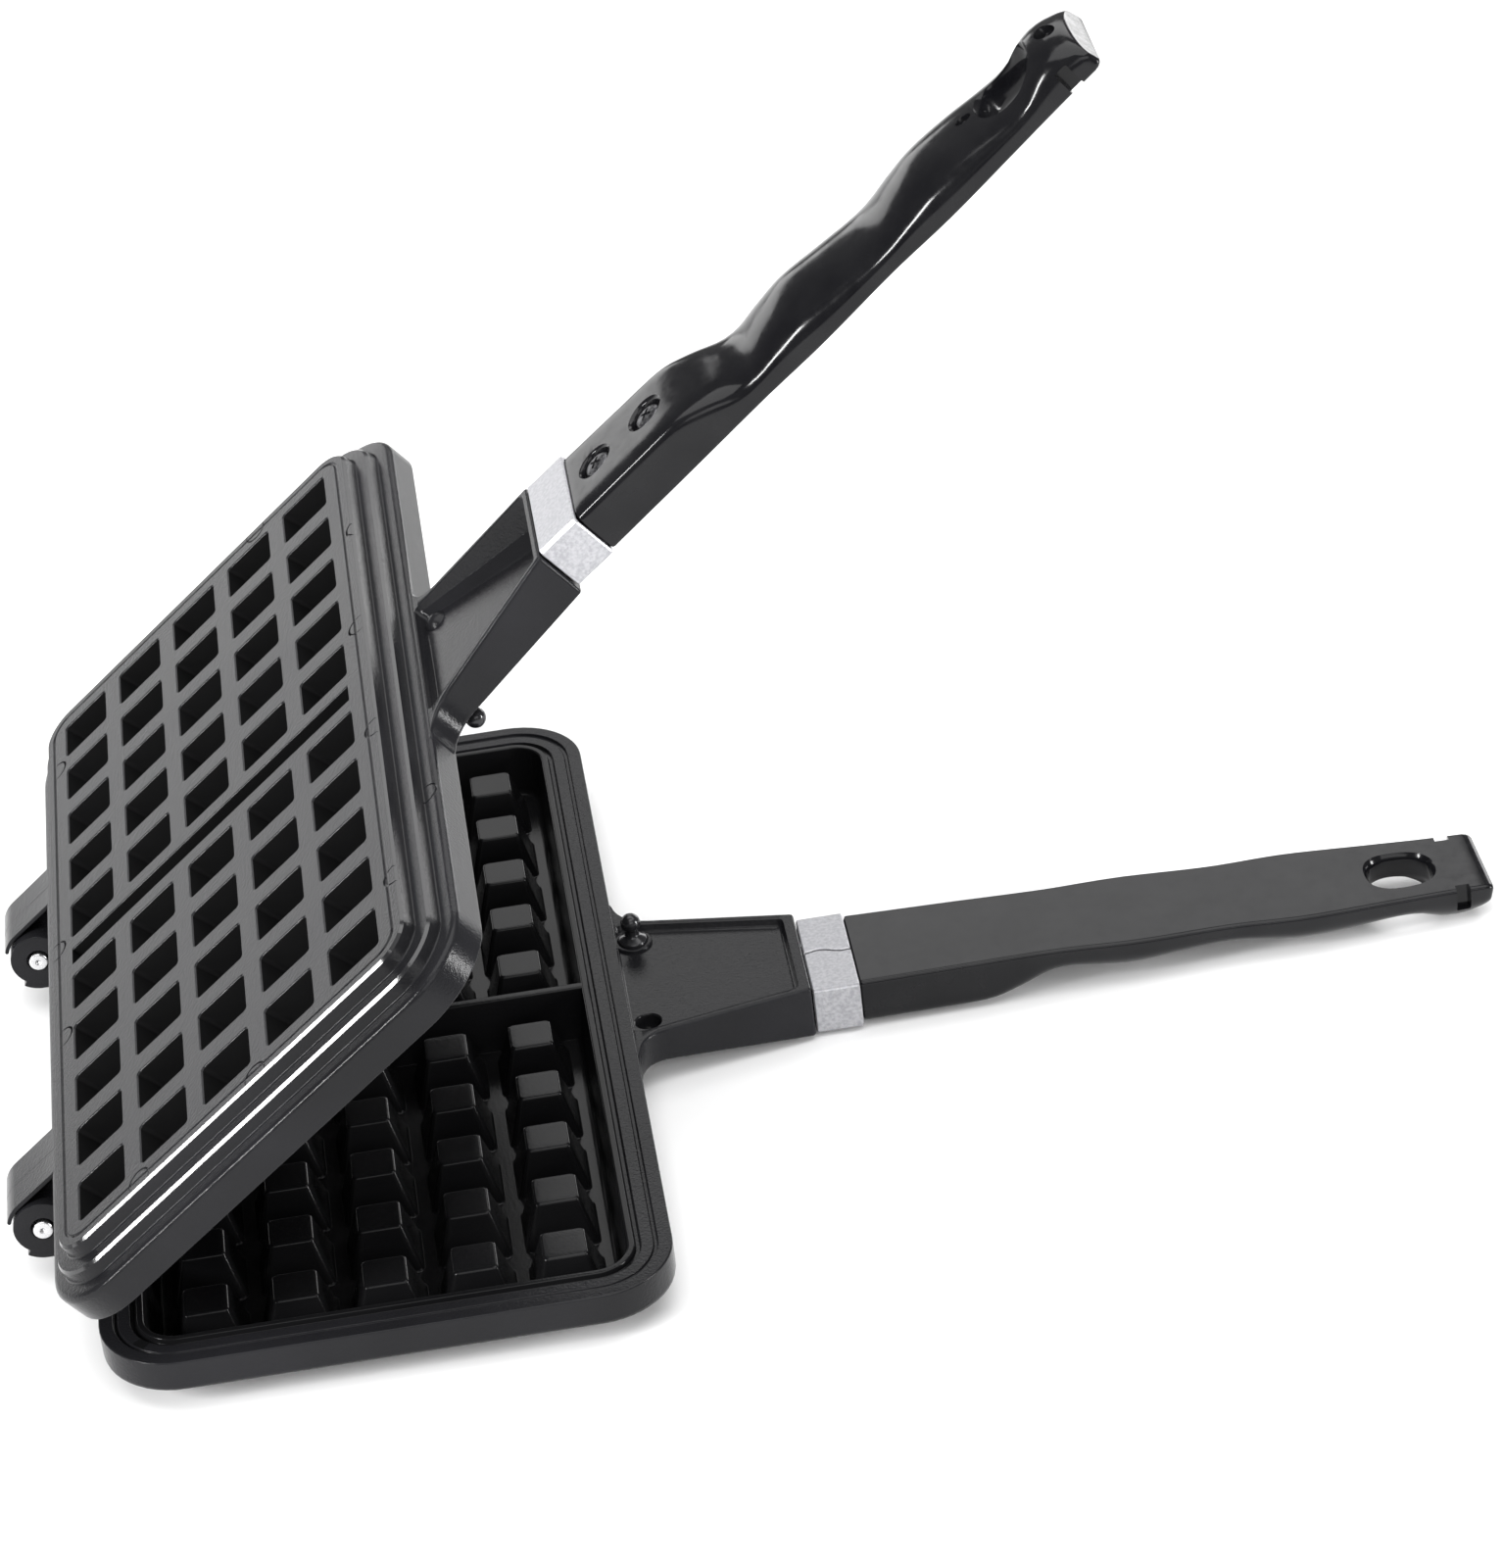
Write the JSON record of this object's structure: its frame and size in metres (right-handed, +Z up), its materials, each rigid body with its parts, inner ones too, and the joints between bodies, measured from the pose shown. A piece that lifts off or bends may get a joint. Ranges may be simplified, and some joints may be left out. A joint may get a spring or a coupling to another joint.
{
  "type": "stovetop waffle iron",
  "caption": "Hinged double stovetop waffle iron: rectangular cast grid plates side by side per half, tapered arms, bright ferrules and wavy black grips with hanging holes.",
  "frame": {"origin": "middle of the bounding box's bottom, at the lower pan's resting face, lid open as stored", "axes": "+X runs along the lower handle towards its free end, +Y runs along the hinge axis, +Z up"},
  "size_m": [0.3368, 0.232, 0.2278],
  "materials": {
    "lower_pan": "dark grey non-stick coating, satin",
    "lower_ferrule": "polished",
    "lower_handle": "glossy black phenolic",
    "lower_screw_front": "plated, bright",
    "lower_screw_rear": "plated, bright",
    "lower_locating_pin": "blackened, smooth",
    "hinge_pin_far": "plated, bright",
    "hinge_pin_near": "plated, bright",
    "upper_pan": "dark grey non-stick coating, satin",
    "upper_ferrule": "polished",
    "upper_handle": "glossy black phenolic",
    "upper_screw_front": "plated, bright",
    "upper_screw_rear": "plated, bright",
    "upper_locating_pin": "blackened, smooth"
  },
  "bodies": {
    "lower_half": {"lower_pan": "lower_pan", "lower_ferrule": "lower_ferrule", "lower_handle": "lower_handle", "lower_screw_front": "lower_screw_front", "lower_screw_rear": "lower_screw_rear", "lower_locating_pin": "lower_locating_pin", "hinge_pin_far": "hinge_pin_far", "hinge_pin_near": "hinge_pin_near"},
    "upper_half": {"upper_pan": "upper_pan", "upper_ferrule": "upper_ferrule", "upper_handle": "upper_handle", "upper_screw_front": "upper_screw_front", "upper_screw_rear": "upper_screw_rear", "upper_locating_pin": "upper_locating_pin"}
  },
  "joints": [
    {"name": "lid_hinge", "type": "hinge", "parent": "lower_half", "child": "upper_half", "pos_m": [-0.16096, 0, 0.0142], "axis": [0, -1, 0], "range_deg": [-38.7, 60]}
  ]
}
